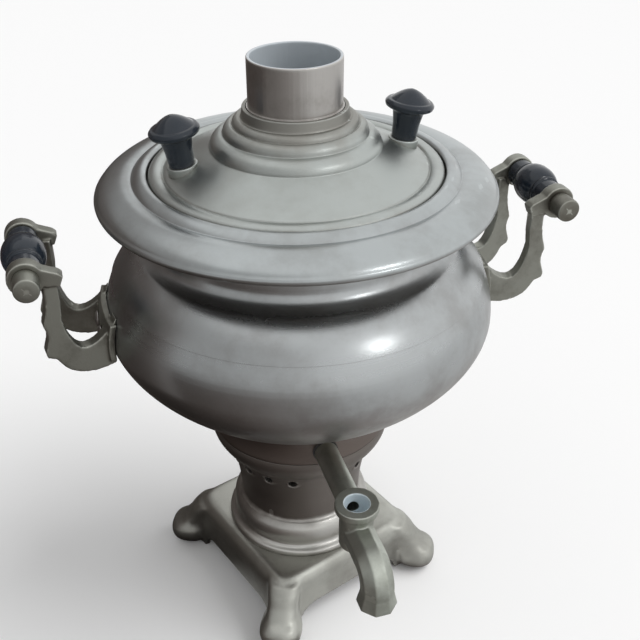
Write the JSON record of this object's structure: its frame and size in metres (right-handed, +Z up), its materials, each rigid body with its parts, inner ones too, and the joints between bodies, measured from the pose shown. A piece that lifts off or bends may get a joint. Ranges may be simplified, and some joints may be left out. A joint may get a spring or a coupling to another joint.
{
  "type": "samovar",
  "caption": "Small charcoal samovar: spun urn on a square cast foot, fire tube through a lift-off lid, two looped handles with turning grips and an open-seated tap",
  "frame": {"origin": "centre of the bounding box on the surface that the feet stand on; the urn's own axis is at y = +9.87 mm", "axes": "+Z up along the fire tube, -Y the way the tap points, +X and -X towards the two handles"},
  "size_m": [0.1526, 0.1264, 0.1673],
  "materials": {
    "base": "satin cast metal, warm grey",
    "stand": "satin turned metal, warm grey",
    "vessel": "satin spun sheet, dull nickel grey",
    "rim": "satin spun sheet, slightly brighter",
    "tube": "drawn tube with fine lines along it, brownish grey",
    "cast_lid": "pale sand-cast grey with a fine grain",
    "cast_handle": "pale greenish grey casting, smoothed",
    "cast_tap": "pale greenish grey casting, smoothed",
    "black": "turned black plastic, glossy",
    "gasket": "black rubber",
    "nut": "plain brass",
    "grate": "rough black iron",
    "screw": "zinc-plated steel"
  },
  "bodies": {
    "urn": {"base": "base", "base_screws": "screw", "stand": "stand", "bowl": "vessel", "shoulder": "vessel", "rim": "rim", "fire_tube": "tube", "tube_gasket": "gasket", "ring_nut": "nut", "grate": "grate", "handle_left": "cast_handle", "handle_right": "cast_handle", "handle_rivets": "screw", "pin_left": "screw", "pin_right": "screw", "tap_body": "cast_tap", "tap_washer": "gasket", "tap_nut": "nut"},
    "lid": {"lid": "cast_lid", "knob_left": "black", "knob_right": "black", "knob_screws": "screw"},
    "grip_left": {"grip_left": "black"},
    "grip_right": {"grip_right": "black"}
  },
  "joints": [
    {"name": "lid_lift", "type": "slide", "parent": "urn", "child": "lid", "axis": [0, 0, 1], "range_m": [0, 0.042]},
    {"name": "grip_left_spin", "type": "hinge", "parent": "urn", "child": "grip_left", "pos_m": [-0.0707, 0.00987, 0.1238], "axis": [0, 1, 0], "continuous": true},
    {"name": "grip_right_spin", "type": "hinge", "parent": "urn", "child": "grip_right", "pos_m": [0.0707, 0.00987, 0.1238], "axis": [0, 1, 0], "continuous": true}
  ]
}
